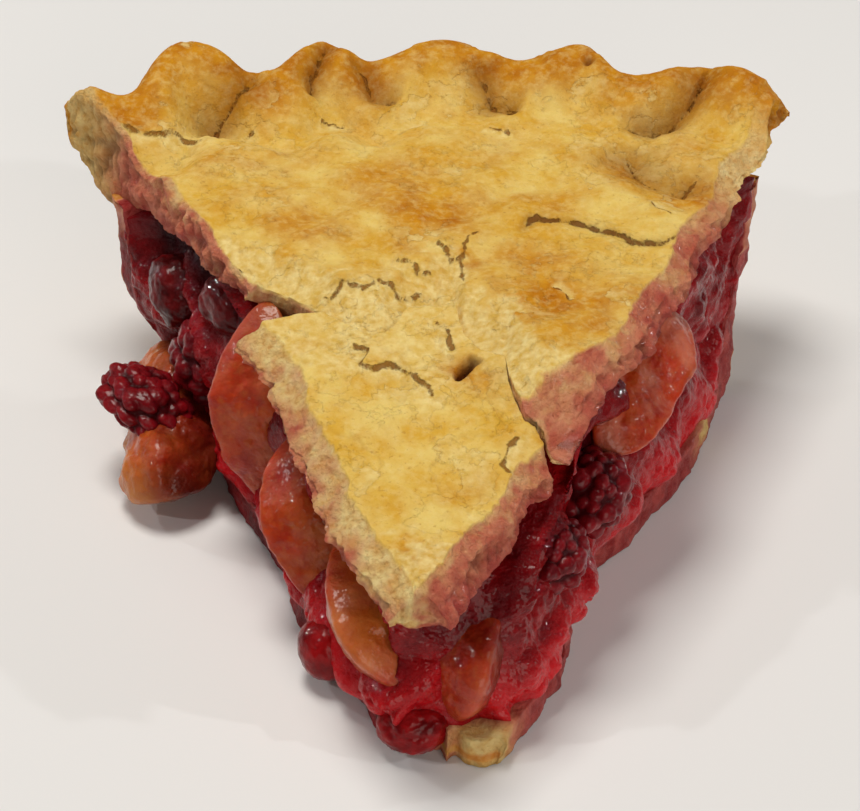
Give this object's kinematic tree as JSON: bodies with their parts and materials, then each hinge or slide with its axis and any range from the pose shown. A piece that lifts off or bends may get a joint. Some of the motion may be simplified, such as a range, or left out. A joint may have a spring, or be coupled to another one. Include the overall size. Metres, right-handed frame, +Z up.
{
  "type": "fruit pie slice",
  "caption": "Cut slice of a covered fruit pie: crimped pastry rim, cracked lid with a sunken front piece, sloped bottom crust, glossy filling of peach slices and berries.",
  "frame": {"origin": "on the underside of the bottom crust, on the middle line of the slice, 60 mm from the centre of the whole pie", "axes": "+Z up, +Y from the tip towards the crimped rim, +X to the right for someone who faces the rim from the tip"},
  "size_m": [0.1052, 0.1178, 0.0437],
  "materials": {
    "lid_pastry": "baked pastry, dry and faintly greasy",
    "base_pastry": "baked pastry soaked with juice",
    "juice": "thick wet fruit juice",
    "peach_flesh": "cooked fruit, wet",
    "berry_skin": "cooked berry, wet"
  },
  "bodies": {
    "root": {"top_crust": "lid_pastry", "crust_flap": "lid_pastry", "bottom_crust": "base_pastry", "filling": "juice", "peach_tall": "peach_flesh", "peach_left_front": "peach_flesh", "peach_tip": "peach_flesh", "peach_tip_right": "peach_flesh", "peach_right": "peach_flesh", "peach_spilled": "peach_flesh", "cherry_left": "berry_skin", "cherry_dark": "berry_skin", "cherry_tip": "berry_skin", "raspberry_left": "berry_skin", "raspberry_right": "berry_skin", "raspberry_right_front": "berry_skin", "raspberry_squashed": "berry_skin"}
  },
  "joints": []
}
